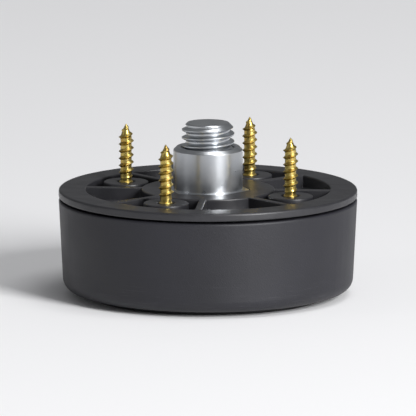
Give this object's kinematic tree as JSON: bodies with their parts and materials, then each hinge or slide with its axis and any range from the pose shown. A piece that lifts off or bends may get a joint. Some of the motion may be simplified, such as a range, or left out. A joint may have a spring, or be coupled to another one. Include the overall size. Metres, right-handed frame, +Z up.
{
  "type": "furniture leveling foot",
  "caption": "Low round levelling foot: a black cup turned by hand lowers a glide on a threaded spindle, under a screw-on base with a skirt and a threaded sleeve.",
  "frame": {"origin": "on the floor under the centre of the foot, at the underside of the pad", "axes": "+Z up along the spindle towards the cabinet; X and Y along the floor, with the mounting screws at 45 degrees to them"},
  "size_m": [0.056, 0.056, 0.0325],
  "materials": {
    "black_textured": "moulded glass-filled nylon, fine spark-eroded texture, satin",
    "black_moulded": "moulded nylon, plain satin",
    "zinc_steel": "turned and bright zinc-plated",
    "screw_steel": "rolled thread, yellow passivated zinc",
    "spring_steel": "stamped, phosphated and oiled",
    "nylon_white": "turned nylon, uncoloured",
    "acetal_natural": "stamped acetal sheet, uncoloured",
    "pad_elastomer": "moulded thermoplastic elastomer, matte"
  },
  "bodies": {
    "base": {"mounting_base": "black_moulded", "threaded_sleeve": "zinc_steel", "locking_ring": "nylon_white", "mounting_screw_1": "screw_steel", "mounting_screw_2": "screw_steel", "mounting_screw_3": "screw_steel", "mounting_screw_4": "screw_steel"},
    "glide": {"glide_plate": "black_moulded", "glide_pad": "pad_elastomer", "thrust_washer": "acetal_natural"},
    "foot": {"foot_cup": "black_textured", "levelling_spindle": "zinc_steel", "spindle_retainer": "spring_steel", "glide_clip": "spring_steel"}
  },
  "joints": [
    {"name": "height_travel", "type": "slide", "parent": "base", "child": "glide", "axis": [0, 0, -1], "range_m": [0, 0.01]},
    {"name": "cup_turn", "type": "hinge", "parent": "glide", "child": "foot", "pos_m": [0, 0, 0.004], "axis": [0, 0, -1], "range_deg": [0, 2400]}
  ],
  "couplings": [
    {"joint": "height_travel", "follows": "cup_turn", "m_per_rad": 0.00023873}
  ]
}
